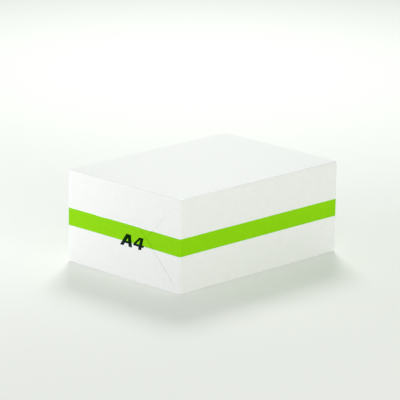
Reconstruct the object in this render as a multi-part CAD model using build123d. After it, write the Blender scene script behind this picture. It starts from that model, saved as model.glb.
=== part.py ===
from build123d import *
import os

# A sealed ream: 500 sheets of A4 paper of 250 g/m2, in a wrapper folded from one sheet of white paper.
# Millimetres. +X runs along the sheets, +Y across them and +Z up. The origin is the middle of the
# pack's base, in the plane that it rests on.
#
# The wrapper goes round the stack as a tube along X, and is lapped and glued underneath. Past each end
# of the stack its sides are tucked in, its upper flap is folded down over them, and its lower flap is
# folded up over that and glued. The tube is cut square, so both flaps are equally deep, and each narrows
# at 45 degrees from the corners of the pack.

# The sheets
sheet_length = 297.0
sheet_width = 210.0
sheet_thickness = 0.253
sheet_count = 500

# The wrapper
wrapper_thickness = 0.12
fold_radius = 1.2  # outside, where the wrapper turns over an edge of the stack
flap_overlap = 34.0  # how far the lower end flap lies over the upper one
lap_edge_y = 40.0  # the glued edge of the outer panel of the base, which runs along the pack

# Layers of wrapper between the end of the stack and the outside
tuck_layers = 1
upper_flap_layers = 3  # the tuck, the ear folded behind the flap, and the flap
lower_flap_layers = 5  # the same again, over the upper flap
top_layers = 1
base_layers = 2  # inner and outer panel, where they lap

stack_height = sheet_count * sheet_thickness
pack_width = sheet_width + 2 * top_layers * wrapper_thickness
pack_height = stack_height + (top_layers + base_layers) * wrapper_thickness
flap_depth = (pack_height + flap_overlap) / 2
inner_panel_z = wrapper_thickness  # the inner panel of the base lies one layer above the outer one


def end_plane(layers):
    """How far from the middle of the pack the outside of so many layers lies, at each end."""
    return sheet_length / 2 + layers * wrapper_thickness


def rounded_block(layers, base_z):
    """The pack with its ends at so many layers and its base at base_z, rounded at every fold."""
    block = Pos(0, 0, base_z) * Box(
        2 * end_plane(layers),
        pack_width,
        pack_height - base_z,
        align=(Align.CENTER, Align.CENTER, Align.MIN),
    )
    return fillet(block.edges(), fold_radius)


def flap_outline():
    """A flap folded up from the base: across the pack, and up from the fold."""
    narrowing = Polygon((-pack_width / 2, 0), (pack_width / 2, 0), (0, pack_width / 2), align=None)
    cut_square = Rectangle(pack_width, flap_depth, align=(Align.CENTER, Align.MIN))
    return narrowing & cut_square


def lapped_block(inner_layers, outer_layers):
    """A block whose base has two panels: the outer one, which the pack rests on, on the -Y side of the
    glued edge, and the inner one, a layer higher, beyond it."""
    inner = rounded_block(inner_layers, inner_panel_z)
    outer = rounded_block(outer_layers, 0)
    outer_side = Pos(0, lap_edge_y, 0) * Box(
        2 * end_plane(outer_layers),
        lap_edge_y + pack_width / 2,
        pack_height,
        align=(Align.CENTER, Align.MAX, Align.MIN),
    )
    return inner + (outer & outer_side)


def flap_regions(outline, layers):
    """The outline at both ends of the pack, from where the fold starts to turn out to so many layers."""
    inner_x = end_plane(tuck_layers) - fold_radius
    reach = end_plane(layers) - inner_x
    region = Pos(inner_x, 0, 0) * extrude(Plane.YZ * outline, reach, dir=(1, 0, 0))
    return region + region.mirror(Plane.YZ)


def upper_flaps():
    """The flaps folded down from the top."""
    outline = Pos(0, pack_height) * Rot(Z=180) * flap_outline()
    return rounded_block(upper_flap_layers, 0) & flap_regions(outline, upper_flap_layers)


def lower_flaps():
    """The flaps folded up from the base, over the upper ones. The lap of the base runs on up them."""
    block = lapped_block(lower_flap_layers - 1, lower_flap_layers)
    return block & flap_regions(flap_outline(), lower_flap_layers)


def wrapped_ream():
    """The sealed pack, one solid."""
    return lapped_block(tuck_layers, tuck_layers) + upper_flaps() + lower_flaps()


os.makedirs("parts", exist_ok=True)
export_step(wrapped_ream(), "parts/wrapped_ream.step")
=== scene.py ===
import math

import bmesh
import bpy
from mathutils import Matrix, Quaternion, Vector, noise


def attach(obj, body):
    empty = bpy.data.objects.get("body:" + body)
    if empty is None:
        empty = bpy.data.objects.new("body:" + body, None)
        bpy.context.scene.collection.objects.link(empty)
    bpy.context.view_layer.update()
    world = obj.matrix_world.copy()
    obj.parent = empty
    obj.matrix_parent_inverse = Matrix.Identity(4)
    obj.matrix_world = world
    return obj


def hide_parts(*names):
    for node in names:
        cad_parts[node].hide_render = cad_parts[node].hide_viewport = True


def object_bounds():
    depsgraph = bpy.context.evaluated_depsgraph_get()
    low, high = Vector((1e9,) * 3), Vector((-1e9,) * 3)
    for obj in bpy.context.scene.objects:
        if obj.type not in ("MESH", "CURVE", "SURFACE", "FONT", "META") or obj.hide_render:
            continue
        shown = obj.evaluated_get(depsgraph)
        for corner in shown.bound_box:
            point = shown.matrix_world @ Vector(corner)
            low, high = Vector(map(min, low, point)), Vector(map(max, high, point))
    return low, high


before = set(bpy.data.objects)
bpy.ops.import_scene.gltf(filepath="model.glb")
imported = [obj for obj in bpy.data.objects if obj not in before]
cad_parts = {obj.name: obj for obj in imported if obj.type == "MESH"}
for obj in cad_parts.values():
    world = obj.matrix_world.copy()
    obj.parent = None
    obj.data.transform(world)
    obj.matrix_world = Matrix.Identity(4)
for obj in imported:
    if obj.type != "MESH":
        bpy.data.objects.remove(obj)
cad_low, cad_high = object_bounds()

# A sealed ream of A4 paper. +X runs along the sheets, +Y across them and +Z up, in metres, and the pack
# rests on its base at z = 0. Its wrapper goes round the stack as a tube along X. Past each end of the
# stack the sides are tucked in, the upper flap is folded down over them and the lower flap up over that.

MM = 0.001

# The wrapper
paper = 0.12 * MM  # its thickness
fold_radius = 1.2 * MM  # outside
fold_segments = 4  # flat strips round a fold
flap_overlap = 34.0 * MM  # how far the lower end flap lies over the upper one
lap_edge_y = 40.0 * MM  # the glued edge of the outer panel of the base
upper_flap_layers = 2  # of paper over the tuck: the flap, and the ear that is folded behind it
lower_flap_layers = 4  # of paper over the tuck, over the upper flap: one fewer beyond the glued lap
edge_gap = 0.5 * MM  # how far in under the edges of the flaps the glue stops
gap_fade = 25 * MM  # how far from the fold of a flap the gap reaches its full depth

pack_height = cad_high.z
half_width = cad_high.y
flap_depth = (pack_height + flap_overlap) / 2
end_x = cad_high.x  # the outside of the lower flap
tuck_x = end_x - lower_flap_layers * paper
fold_x = tuck_x - fold_radius  # where the end folds start to turn
inner_base_z = paper  # the inner panel of the base lies on the outer one

# How the wrapper has settled on the stack
wave_length = 70 * MM  # of its slow waves
face_give = (0.40 * MM, 0.35 * MM, 0.35 * MM)  # how deep the waves are on the ends, sides and top
fold_share = 0.15  # of that depth, right beside a fold
fold_calm = 30 * MM  # how far from a fold the waves reach their full depth
flat_slack = 0.05 * MM  # how far every face lies inside its flat place
face_reach = 12 * MM  # how far into the pack the movement of a face is felt
corner_crush = 0.5 * MM  # how far each face gives at a corner
corner_reach = 7 * MM  # how far from the corner this is felt
step_run = 9 * MM  # how wide the slope is over the edge of a hidden layer
edge_press = 0.3 * MM  # how far the edges of the flaps have sunk into what lies under them
press_run = 22 * MM  # how far from the edge this is felt
crease_angle = math.radians(35)  # an edge that turns more than this is sharp

# The print
stripe_height = 23.8 * MM
stripe_drop = 1.0 * MM  # how far the middle of the stripe lies below the middle of the pack
stripe_low = pack_height / 2 - stripe_drop - stripe_height / 2
stripe_high = stripe_low + stripe_height
lower_flap_drift = 0.3 * MM  # the stripe meets a little out of line where the flaps were folded
upper_flap_drift = -0.2 * MM
ink_film = 0.04 * MM  # thicker than real ink, so that print and paper stay apart in any viewer
mark_film = 0.11 * MM  # the mark stands over the green film as well
least_outward = 0.5  # share of the film that lies outwards on an end, so that it is never under paper

# The size mark, in its own flat coordinates: along the line of print and up from its foot
cap_height = 16.8 * MM
lean = 0.28  # how far the letters lean for each unit of height
bar_low = 3.9 * MM  # the crossbar of both letters, from here
bar_high = 7.2 * MM  # up to here
ink_spread = 0.4 * MM  # how far the ink rounds the corners of the letters
mark_foot = stripe_low - 5.8 * MM  # its height on the pack
mark_start_y = 5.8 * MM  # where it starts, to run towards -Y
letter_a = {
    "foot": 22.6 * MM,  # overall
    "apex": 8.4 * MM,  # the flat top
    "leg": 6.4 * MM,  # measured along the foot
}
letter_4 = {
    "start": 23.6 * MM,
    "end": 42.6 * MM,  # of the crossbar
    "stem": (33.8 * MM, 39.4 * MM),
    "shoulder": 31.6 * MM,  # the top of the diagonal
    "tip_height": 7.0 * MM,  # the foot of the diagonal
    "diagonal": 3.6 * MM,  # its thickness
}

# The mesh of the wrapper: half the height of the pack is a whole number of cells, so that the 45-degree
# edges of the flaps run corner to corner through them.
cells_to_middle = 20
cell = pack_height / 2 / cells_to_middle
beside_fold = fold_radius + 1.0 * MM  # the line of a narrow row of cells along each fold
touching = 0.02 * MM  # closer than this is in line
cut_snap = 0.01 * MM  # a cut closer than this to a corner goes through it

# What each face of the wrapper belongs to
TUBE, UPPER_FLAP, LOWER_FLAP, CUT_EDGE = range(4)

# The surface of the wrapper
ridge_pitch = 3.0 * MM  # about twelve sheets
ridge_relief = 0.018 * MM
tooth_size = 2.2 * MM  # of clumps of fibres
tooth_relief = 0.010 * MM
crease_size = 3.5 * MM
crease_relief = 0.08 * MM
creased_to = 0.5 * MM  # how far from a fold the creases are full
creases_end = 5 * MM  # how far from it they are gone
gloss_size = 25 * MM  # of the patches where the paper shines more or less
cloud_size = 6 * MM
ink_cloud_size = 4 * MM
cloud_roughness = 0.55  # how strong the fine detail of every cloudy pattern is

# The studio, in metres
floor_radius = 40.0
lamps_reach = 1.8  # how far out the lamps light the floor well
glow_full = 3.8  # how far out the floor glows fully
floor_glow = 0.40
sky_strength = 0.49
backdrop_strength = 0.95  # the same sky where it is looked at, so that it is as pale as the floor


# ---------------------------------------------------------------- shape


def sign(value):
    return math.copysign(1.0, value)


def smooth(value, low, high):
    """0 below low, 1 above high, and a smooth step between them."""
    share = min(max((value - low) / (high - low), 0), 1)
    return share * share * (3 - 2 * share)


def parts_of(faces):
    """The faces with all their edges and corners."""
    parts = {}
    for face in faces:
        parts.update(dict.fromkeys([face, *face.edges, *face.verts]))
    return list(parts)


def cut(bm, geom, point, normal, clear=False):
    """Cuts part of a mesh along a plane. With clear, what lies on the side of the normal goes."""
    bmesh.ops.bisect_plane(
        bm, geom=geom, dist=cut_snap, plane_co=point, plane_no=normal, clear_outer=clear
    )


def even_cuts(low, high):
    """Places of cuts about one cell apart from low to high, both left out."""
    count = round((high - low) / cell)
    return [low + (high - low) * i / count for i in range(1, count)]


def cell_lines():
    """The places of the cell lines along X, Y and Z."""
    flank = half_width - pack_height / 2  # half the width that is left between the two sides' cells
    from_side = [i * cell for i in range(1, cells_to_middle + 1)] + [beside_fold]
    along = even_cuts(-tuck_x, tuck_x) + [s * (tuck_x - beside_fold) for s in (-1, 1)]
    across = even_cuts(-flank, flank) + [s * (half_width - inset) for s in (-1, 1) for inset in from_side]
    across.append(lap_edge_y)
    up = even_cuts(0, pack_height) + [beside_fold, pack_height - beside_fold]
    return along, across, up


def cut_cells(bm):
    """Divides a mesh along the cell lines."""
    for axis, places in enumerate(cell_lines()):
        normal = Vector((0, 0, 0))
        normal[axis] = 1
        for place in places:
            cut(bm, bm.verts[:] + bm.edges[:] + bm.faces[:], normal * place, normal)


def sealed_block():
    """The stack in its tube of wrapper, with the sides tucked in at the ends."""
    bm = bmesh.new()
    size = Vector((2 * tuck_x, 2 * half_width, pack_height - inner_base_z))
    bmesh.ops.create_cube(bm, size=1)
    bmesh.ops.scale(bm, vec=size, verts=bm.verts)
    bmesh.ops.translate(bm, vec=(0, 0, inner_base_z + size.z / 2), verts=bm.verts)
    bmesh.ops.bevel(
        bm,
        geom=bm.edges[:],
        offset=fold_radius,
        affect="EDGES",
        segments=fold_segments,
        profile=0.5,
        material=-1,
    )
    cut_cells(bm)
    return bm


def mark_flaps(bm):
    """Cuts the outlines of the flaps into both ends, and notes which panel each face belongs to."""
    panel = bm.faces.layers.int.new("panel")

    def end_faces(low, high):
        centres = {f: f.calc_center_median() for f in bm.faces}
        return [f for f, c in centres.items() if abs(c.x) > fold_x and low < c.z < high]

    cut(bm, parts_of(end_faces(0, pack_height)), (0, 0, flap_depth), (0, 0, 1))
    for side in (-1, 1):
        cut(bm, parts_of(end_faces(0, flap_depth)), (0, side * half_width, 0), (0, side, 1))
        upper_half = parts_of(end_faces(pack_height / 2, pack_height))
        cut(bm, upper_half, (0, side * half_width, pack_height), (0, side, -1))
    for face in end_faces(0, pack_height):
        middle = face.calc_center_median()
        if abs(middle.y) + middle.z < half_width and middle.z < flap_depth:
            face[panel] = LOWER_FLAP
        elif abs(middle.y) + pack_height - middle.z < half_width:
            face[panel] = UPPER_FLAP
    return panel


def is_cut_edge(wall):
    """Whether a wall along the edge of a layer is cut paper: at the lap, or at the free edge of the lower
    flap. The others are folds, or carry a panel on round a fold."""
    middle = wall.calc_center_median()
    return abs(middle.y - lap_edge_y) < touching or abs(middle.z - flap_depth) < touching


def add_layer(bm, panel, faces, under_base=False):
    """Lays one more thickness of paper over the faces, outwards at the ends or down under the base, and
    notes which panel each wall round it belongs to."""
    moved = bmesh.ops.extrude_face_region(bm, geom=faces)["geom"]
    bmesh.ops.delete(bm, geom=faces, context="FACES")
    laid = {part for part in moved if isinstance(part, bmesh.types.BMFace)}
    raised = [part for part in moved if isinstance(part, bmesh.types.BMVert)]
    for vert in raised:
        vert.co += Vector((0, 0, -1) if under_base else (sign(vert.co.x), 0, 0)) * paper
    for wall in {f for v in raised for f in v.link_faces} - laid:
        beside = next(f[panel] for e in wall.edges for f in e.link_faces if f in laid)
        wall[panel] = CUT_EDGE if is_cut_edge(wall) else beside


def open_edges(bm):
    """Opens a narrow gap under the edges of the flaps, except where they cross."""
    for vert in bm.verts:
        out, y, z = abs(vert.co.x), abs(vert.co.y), vert.co.z
        if out < tuck_x - touching:
            continue
        outer_x = end_x if vert.co.y < lap_edge_y + touching else end_x - paper
        under_outer_layer = out < outer_x - 1.5 * paper
        on_tuck = out < tuck_x + 0.5 * paper
        from_lower = half_width - y - z
        from_upper = half_width - y - (pack_height - z)
        inward = Vector((0, 0, 0))
        if under_outer_layer:
            if abs(from_lower) < touching and z < flap_depth + touching:
                inward += Vector((0, -sign(vert.co.y), -1)).normalized() * smooth(z, beside_fold, gap_fade)
            if abs(z - flap_depth) < touching and from_lower > -touching:
                inward += Vector((0, 0, -1))
        if on_tuck and abs(from_upper) < touching and z > pack_height / 2:
            from_top = smooth(pack_height - z, beside_fold, gap_fade)
            inward += Vector((0, -sign(vert.co.y), 1)).normalized() * from_top
        vert.co += inward * edge_gap * smooth(abs(z - pack_height / 2), 0, 2 * cell)


def folded_wrapper():
    """The whole wrapper as one closed surface, with every layer of paper at its real height."""
    bm = sealed_block()
    panel = mark_flaps(bm)

    def faces_where(test):
        return [f for f in bm.faces if test(f[panel], f.calc_center_median())]

    fold_top = inner_base_z + fold_radius
    outer_panel = faces_where(lambda _, c: c.z < fold_top and c.y < lap_edge_y)
    add_layer(bm, panel, outer_panel, under_base=True)
    add_layer(bm, panel, faces_where(lambda p, c: p == LOWER_FLAP and c.y < lap_edge_y))
    for _ in range(upper_flap_layers):
        add_layer(bm, panel, faces_where(lambda p, c: abs(c.x) > fold_x and p != TUBE))
    for _ in range(lower_flap_layers - upper_flap_layers - 1):
        add_layer(bm, panel, faces_where(lambda p, c: abs(c.x) > fold_x and p not in (TUBE, UPPER_FLAP)))
    bmesh.ops.dissolve_degenerate(bm, dist=touching, edges=bm.edges)
    open_edges(bm)
    bmesh.ops.recalc_face_normals(bm, faces=bm.faces)
    return bm, panel


def outside_flap(y, from_fold):
    """How far a place on an end lies outside the outline of a flap. Inside it is below zero."""
    return max((abs(y) + from_fold - half_width) / math.sqrt(2), from_fold - flap_depth)


def sunk(point):
    """How far a place on an end sinks towards the sheets. Flaps sink where fewer layers of paper lie under
    them: between the free edges of the tucks, and where the lower flap lies past the upper one. The edges
    of the flaps press down what lies under them."""
    x, y, z = point
    thickness = (lower_flap_layers if y < lap_edge_y else lower_flap_layers - 1) * paper
    over_tuck = min(max(abs(x) - tuck_x, 0), thickness)
    outside_lower, outside_upper = outside_flap(y, z), outside_flap(y, pack_height - z)
    between_tucks = smooth(half_width - flap_depth - abs(y), -step_run / 2, step_run / 2)
    past_upper_flap = smooth(outside_upper, 0, step_run)
    near_edge = 1 - smooth(min(abs(outside_lower), abs(outside_upper)), 0, press_run)
    on_end = smooth(abs(x), fold_x, tuck_x) * smooth(half_width - abs(y), 0, fold_calm)
    pressed = edge_press * (1 - over_tuck / thickness) * near_edge * on_end
    return over_tuck * (between_tucks + past_upper_flap) / 2 + pressed


def settled(point):
    """Where a point of a perfectly flat pack lies on the real one: paper gives a little between its folds
    and at its corners, always inwards."""
    x, y, z = point
    insets = (end_x - abs(x), half_width - abs(y), min(z, pack_height - z))
    centre = Vector((0, 0, pack_height / 2))
    corner = Vector((sign(x) * end_x, sign(y) * half_width, pack_height if z > centre.z else 0))
    crush = corner_crush * math.exp(-(((point - corner).length / corner_reach) ** 2))
    moved = Vector(point)
    moved.x -= sign(x) * sunk(point)
    for axis in range(3):
        side = sign(point[axis] - centre[axis])
        if axis == 2 and side < 0:
            continue  # it rests on its base
        near = smooth(face_reach - insets[axis], 0, face_reach)
        others = [insets[a] for a in range(3) if a != axis]
        from_fold = smooth(min(others), 0, fold_calm)
        own_waves = Vector((7.3 * axis, 3.1 * side, 1.7))  # a different part of the noise for each face
        wave = noise.noise(point / wave_length + own_waves)
        depth = face_give[axis] * (fold_share + (1 - fold_share) * from_fold)
        moved[axis] -= side * near * (flat_slack + depth * (1 + wave) / 2 + crush)
    return moved


def finished(name, bm, material):
    """Makes a mesh into a piece of the object, settled like the rest of the pack."""
    for vert in bm.verts:
        vert.co = settled(vert.co.copy())
    for face in bm.faces:
        face.smooth = True
    for edge in bm.edges:
        edge.smooth = edge.calc_face_angle(0) < crease_angle
    mesh = bpy.data.meshes.new(name)
    bm.to_mesh(mesh)
    bm.free()
    mesh.materials.append(material)
    piece = bpy.data.objects.new(name, mesh)
    bpy.context.scene.collection.objects.link(piece)
    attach(piece, "root")
    return piece


# ---------------------------------------------------------------- print


def printed_stripe(wrapper, panel_name):
    """The film of green ink: the band of every outer panel that the stripe crosses, a film's thickness
    proud of it. The cut edges of the paper stay white."""
    bm = wrapper.copy()
    panel = bm.faces.layers.int[panel_name]
    bmesh.ops.delete(bm, geom=[f for f in bm.faces if f[panel] == CUT_EDGE], context="FACES")
    drifts = {TUBE: 0.0, UPPER_FLAP: upper_flap_drift, LOWER_FLAP: lower_flap_drift}
    for name, drift in drifts.items():
        for place, normal in ((stripe_high, 1), (stripe_low, -1)):
            printed = parts_of([f for f in bm.faces if f[panel] == name])
            cut(bm, printed, (0, 0, place + drift), (0, 0, normal), clear=True)
    bm.normal_update()
    outward = {vert: vert.normal.copy() for vert in bm.verts}
    bmesh.ops.extrude_face_region(bm, geom=bm.faces[:])
    for vert, normal in outward.items():
        if abs(vert.co.x) > fold_x:
            normal.x = sign(vert.co.x) * max(abs(normal.x), least_outward)
        vert.co += normal * ink_film
    bmesh.ops.recalc_face_normals(bm, faces=bm.faces)
    return bm


def outline_a():
    """The outer outline and the counter of the letter A."""
    foot, apex, leg = letter_a["foot"], letter_a["apex"], letter_a["leg"]
    slope = (foot - apex) / 2 / cap_height

    def inner(height):
        return leg + slope * height

    outer = [
        (0, 0),
        (leg, 0),
        (inner(bar_low), bar_low),
        (foot - inner(bar_low), bar_low),
        (foot - leg, 0),
        (foot, 0),
        ((foot + apex) / 2, cap_height),
        ((foot - apex) / 2, cap_height),
    ]
    top = (foot / 2 - leg) / slope
    counter = [(inner(bar_high), bar_high), (foot - inner(bar_high), bar_high), (foot / 2, top)]
    return outer, counter


def outline_4():
    """The outer outline and the counter of the figure 4."""
    start, end, shoulder = letter_4["start"], letter_4["end"], letter_4["shoulder"]
    left, right = letter_4["stem"]
    tip = letter_4["tip_height"]
    outer = [
        (left, 0),
        (right, 0),
        (right, bar_low),
        (end, bar_low),
        (end, bar_high),
        (right, bar_high),
        (right, cap_height),
        (shoulder, cap_height),
        (start, tip),
        (start, bar_low),
        (left, bar_low),
    ]
    slope = (cap_height - tip) / (shoulder - start)
    inset = letter_4["diagonal"] * math.hypot(1, slope) / slope
    at_bar = start + (bar_high - tip) / slope + inset
    counter = [(at_bar, bar_high), (left, bar_high), (left, bar_high + (left - at_bar) * slope)]
    return outer, counter


def size_mark():
    """The paper size, printed on the lower flap of the -X end."""
    bm = bmesh.new()
    for loops in (outline_a(), outline_4()):
        edges = []
        for loop in loops:
            verts = [bm.verts.new((along, up, 0)) for along, up in loop]
            edges += [bm.edges.new((a, b)) for a, b in zip(verts, verts[1:] + verts[:1])]
        bmesh.ops.triangle_fill(bm, edges=edges, use_beauty=True, use_dissolve=True)
    bmesh.ops.bevel(
        bm, geom=bm.verts[:], offset=ink_spread, affect="VERTICES", segments=2, profile=0.5, material=-1
    )
    slant = Matrix(((1, lean, 0, 0), (0, 1, 0, 0), (0, 0, 1, 0), (0, 0, 0, 1)))
    onto_end = Matrix(((0, 0, -1, -end_x), (-1, 0, 0, mark_start_y), (0, 1, 0, mark_foot), (0, 0, 0, 1)))
    bmesh.ops.transform(bm, matrix=onto_end @ slant, verts=bm.verts)
    cut_cells(bm)
    raised = bmesh.ops.extrude_face_region(bm, geom=bm.faces[:])["geom"]
    raised_verts = [part for part in raised if isinstance(part, bmesh.types.BMVert)]
    bmesh.ops.translate(bm, vec=(-mark_film, 0, 0), verts=raised_verts)
    bmesh.ops.recalc_face_normals(bm, faces=bm.faces)
    return bm


# ---------------------------------------------------------------- materials


def linear(colour):
    """The linear colour of an sRGB hex value, with full alpha."""
    channels = [int(colour[i : i + 2], 16) / 255 for i in (1, 3, 5)]
    return [c / 12.92 if c <= 0.04045 else ((c + 0.055) / 1.055) ** 2.4 for c in channels] + [1.0]


def add_node(tree, kind, inputs=None, **settings):
    """Adds a node with its settings. Each input is a number or colour, or the output that it reads."""
    made = tree.nodes.new(kind)
    for name, value in settings.items():
        setattr(made, name, value)
    for name, value in (inputs or {}).items():
        if isinstance(value, bpy.types.NodeSocket):
            tree.links.new(value, made.inputs[name])
        else:
            made.inputs[name].default_value = value
    return made


def blank_material(name):
    """A new material with no nodes, and its node tree."""
    material = bpy.data.materials.new(name)
    material.use_nodes = True
    material.node_tree.nodes.clear()
    return material, material.node_tree


def from_fold(tree, place):
    """How far a place on the pack lies from the nearest fold: the middle one of its three distances from
    the planes of the ends, the sides, and the top or base."""
    centred = add_node(
        tree, "ShaderNodeVectorMath", {0: place, 1: (0, 0, pack_height / 2)}, operation="SUBTRACT"
    ).outputs["Vector"]
    from_middle = add_node(tree, "ShaderNodeVectorMath", {0: centred}, operation="ABSOLUTE")
    halves = (end_x, half_width, pack_height / 2)
    insets = add_node(
        tree, "ShaderNodeVectorMath", {0: halves, 1: from_middle.outputs["Vector"]}, operation="SUBTRACT"
    ).outputs["Vector"]
    from_end, from_side, from_top = add_node(tree, "ShaderNodeSeparateXYZ", {"Vector": insets}).outputs
    nearer, farther = (
        add_node(tree, "ShaderNodeMath", {0: from_end, 1: from_side}, operation=choice).outputs["Value"]
        for choice in ("MINIMUM", "MAXIMUM")
    )
    rest = add_node(tree, "ShaderNodeMath", {0: farther, 1: from_top}, operation="MINIMUM").outputs["Value"]
    return add_node(tree, "ShaderNodeMath", {0: nearer, 1: rest}, operation="MAXIMUM").outputs["Value"]


def kraft_relief(tree, place):
    """The relief of the wrapper: the edges of the sheets behind it, which show through on the sides as
    faint level ridges, the tooth of its fibres, and fine creases beside the folds. A ridge stands for
    about twelve sheets and the tooth for clumps of fibres, because single ones are too fine to show."""
    along_sheets = 12.0  # the ridges in a metre along the sheets, so they are long and level
    level = add_node(
        tree,
        "ShaderNodeMapping",
        {"Vector": place, "Scale": (along_sheets, along_sheets, 1 / ridge_pitch)},
    ).outputs["Vector"]
    creased = add_node(
        tree,
        "ShaderNodeMapRange",
        {
            "Value": from_fold(tree, place),
            "From Min": creased_to,
            "From Max": creases_end,
            "To Min": 1.0,
            "To Max": 0.0,
        },
    ).outputs["Result"]
    reliefs = (  # where it is read, the size of its spots, their detail, their height and their strength
        (level, 1.0, 2.0, ridge_relief, 1.0),
        (place, tooth_size, 3.0, tooth_relief, 1.0),
        (place, crease_size, 3.0, crease_relief, creased),
    )
    below = {}
    for where, size, detail, height, strength in reliefs:
        spots = add_node(
            tree,
            "ShaderNodeTexNoise",
            {"Vector": where, "Scale": 1 / size, "Detail": detail, "Roughness": cloud_roughness},
        ).outputs["Fac"]
        inputs = {"Height": spots, "Distance": height, "Strength": strength, **below}
        below = {"Normal": add_node(tree, "ShaderNodeBump", inputs).outputs["Normal"]}
    return below["Normal"]


def mottled(tree, place, size, first, second):
    """Two colours in soft clouds of that size."""
    cloud = add_node(
        tree,
        "ShaderNodeTexNoise",
        {"Vector": place, "Scale": 1 / size, "Detail": 3.0, "Roughness": cloud_roughness},
    ).outputs["Fac"]
    ramp = add_node(tree, "ShaderNodeValToRGB", {"Fac": cloud})
    for stop, position, colour in zip(ramp.color_ramp.elements, (0.3, 0.7), (first, second)):
        stop.position = position
        stop.color = linear(colour)
    return ramp.outputs["Color"]


def surface(tree, **inputs):
    """The shader of a material and its output. An underscore in a name stands for a space."""
    named = {name.replace("_", " "): value for name, value in inputs.items()}
    shader = add_node(tree, "ShaderNodeBsdfPrincipled", named)
    add_node(tree, "ShaderNodeOutputMaterial", {"Surface": shader.outputs["BSDF"]})


def machine_glazed_kraft():
    """Bleached kraft paper, dried against a polished cylinder: bright white, smooth with a soft satin
    sheen, slightly cloudy where the fibres lie thicker, and finely creased beside its folds."""
    material, tree = blank_material("machine_glazed_kraft")
    place = add_node(tree, "ShaderNodeTexCoord").outputs["Object"]
    uneven = add_node(
        tree,
        "ShaderNodeTexNoise",
        {"Vector": place, "Scale": 1 / gloss_size, "Detail": 3.0, "Roughness": cloud_roughness},
    ).outputs["Fac"]
    gloss = add_node(
        tree, "ShaderNodeMapRange", {"Value": uneven, "To Min": 0.46, "To Max": 0.58}
    ).outputs["Result"]
    surface(
        tree,
        Base_Color=mottled(tree, place, cloud_size, "#F0F2F0", "#F3F5F3"),
        Roughness=gloss,
        IOR=1.5,
        Normal=kraft_relief(tree, place),
    )
    return material


def flexo_green_ink():
    """Bright green ink, printed on the kraft by flexography: an even field with a faint mottle, soaked in
    so that it hardly shines, and thin enough that the paper's relief shows through it."""
    material, tree = blank_material("flexo_green_ink")
    place = add_node(tree, "ShaderNodeTexCoord").outputs["Object"]
    surface(
        tree,
        Base_Color=mottled(tree, place, ink_cloud_size, "#8ED600", "#91DB00"),
        Roughness=0.55,
        IOR=1.5,
        Specular_IOR_Level=0.07,
        Normal=kraft_relief(tree, place),
    )
    return material


def flexo_dark_ink():
    """Blue-black ink from the second print unit: near black on the white, and a dark green where it
    lies over the stripe, because the ink is slightly clear."""
    material, tree = blank_material("flexo_dark_ink")
    place = add_node(tree, "ShaderNodeTexCoord").outputs["Object"]
    height = add_node(tree, "ShaderNodeSeparateXYZ", {"Vector": place}).outputs["Z"]
    over_stripe = add_node(
        tree, "ShaderNodeMath", {0: height, 1: stripe_low + lower_flap_drift}, operation="GREATER_THAN"
    ).outputs["Value"]
    colour = add_node(
        tree,
        "ShaderNodeMix",
        {"Factor": over_stripe, 6: linear("#1A2528"), 7: linear("#032A03")},
        data_type="RGBA",
    ).outputs[2]
    surface(
        tree,
        Base_Color=colour,
        Roughness=0.55,
        IOR=1.5,
        Specular_IOR_Level=0.02,
        Normal=kraft_relief(tree, place),
    )
    return material


# ---------------------------------------------------------------- studio


def stage_floor():
    """A plain pale floor, large enough to reach the horizon from every side. Far out, where the lamps
    don't reach, it glows faintly, so that it stays as pale as the backdrop."""
    bm = bmesh.new()
    bmesh.ops.create_circle(bm, cap_ends=True, segments=96, radius=floor_radius)
    mesh = bpy.data.meshes.new("floor")
    bm.to_mesh(mesh)
    bm.free()
    floor = bpy.data.objects.new("floor", mesh)
    bpy.context.scene.collection.objects.link(floor)
    material, tree = blank_material("pale_floor")
    place = add_node(tree, "ShaderNodeTexCoord").outputs["Object"]
    far_out = add_node(tree, "ShaderNodeVectorMath", {0: place}, operation="LENGTH").outputs["Value"]
    glow = add_node(
        tree,
        "ShaderNodeMapRange",
        {"Value": far_out, "From Min": lamps_reach, "From Max": glow_full, "To Max": floor_glow},
    ).outputs["Result"]
    pale = linear("#F6F8F4")
    surface(
        tree, Base_Color=pale, Roughness=0.9, IOR=1.4, Emission_Color=pale, Emission_Strength=glow
    )
    mesh.materials.append(material)


def soft_light(name, place, target, size, power, colour="#FFFFFF"):
    """A round lamp that faces its target."""
    light = bpy.data.lights.new(name, "AREA")
    light.shape = "DISK"
    light.size = size
    light.energy = power
    light.color = linear(colour)[:3]
    lamp = bpy.data.objects.new(name, light)
    lamp.location = place
    lamp.rotation_euler = (Vector(target) - Vector(place)).to_track_quat("-Z", "Y").to_euler()
    bpy.context.scene.collection.objects.link(lamp)


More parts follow.
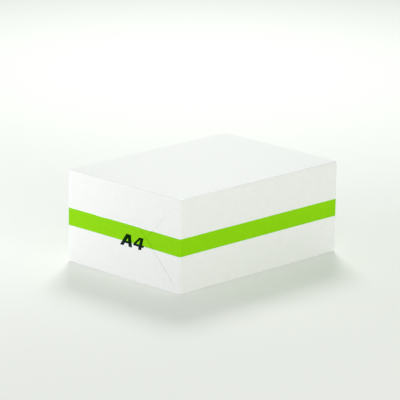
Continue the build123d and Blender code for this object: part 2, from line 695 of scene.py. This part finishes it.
def studio():
    """Plain soft light from all round, with round lamps behind the pack, before it and on both sides."""
    world = bpy.data.worlds.new("studio")
    world.use_nodes = True
    tree = world.node_tree
    tree.nodes.clear()
    looked_at = add_node(tree, "ShaderNodeLightPath").outputs["Is Camera Ray"]
    strength = add_node(
        tree, "ShaderNodeMapRange", {"Value": looked_at, "To Min": sky_strength, "To Max": backdrop_strength}
    ).outputs["Result"]
    sky = add_node(tree, "ShaderNodeBackground", {"Color": linear("#F5FAF6"), "Strength": strength})
    add_node(tree, "ShaderNodeOutputWorld", {"Surface": sky.outputs["Background"]})
    bpy.context.scene.world = world
    soft_light("key", (1.05, 1.05, 1.5), (0, 0, 0.05), 0.7, 19.0)
    soft_light("foreground", (-1.6, -1.6, 1.2), (-0.9, -0.9, 0), 1.2, 6.5)
    soft_light("front_fill", (-0.3, -2.0, 0.5), (0, 0, 0.06), 1.0, 9.7, "#FFFAF3")
    soft_light("left_fill", (-2.0, 0.2, 0.5), (0, 0, 0.06), 1.0, 6.1, "#FFF8FF")
    soft_light("side", (-0.5, 0.55, 0.18), (-0.15, 0.1, 0.1), 0.3, 1.1, "#FAF2FF")
    bpy.context.scene.view_settings.view_transform = "Standard"


def camera():
    """A long lens, far away, that sees the -X end, the -Y side and the top."""
    azimuth, elevation, roll = (math.radians(angle) for angle in (-45.6, 15.33, 0.9))
    distance = 4.0
    above_middle, left_of_middle = 14.8 * MM, 4.5 * MM  # where it aims
    across, up = math.cos(elevation), math.sin(elevation)
    back = Vector((math.sin(azimuth) * across, -math.cos(azimuth) * across, up))
    right = Vector((math.cos(azimuth), math.sin(azimuth), 0))
    aim = Vector((0, 0, pack_height / 2 + above_middle)) - right * left_of_middle
    lens = bpy.data.cameras.new("camera")
    lens.lens = 269.2
    lens.sensor_width = 36.0
    view = bpy.data.objects.new("camera", lens)
    view.location = aim + back * distance
    turn = (-back).to_track_quat("-Z", "Y") @ Quaternion((0, 0, 1), roll)
    view.rotation_euler = turn.to_euler()
    bpy.context.scene.collection.objects.link(view)
    bpy.context.scene.camera = view


camera()
wrapper_mesh, panel_layer = folded_wrapper()
stripe_mesh = printed_stripe(wrapper_mesh, panel_layer.name)
wrapper_piece = finished("wrapper", wrapper_mesh, machine_glazed_kraft())
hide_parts("wrapped_ream")
finished("green_stripe", stripe_mesh, flexo_green_ink())
finished("size_mark", size_mark(), flexo_dark_ink())
stage_floor()
studio()
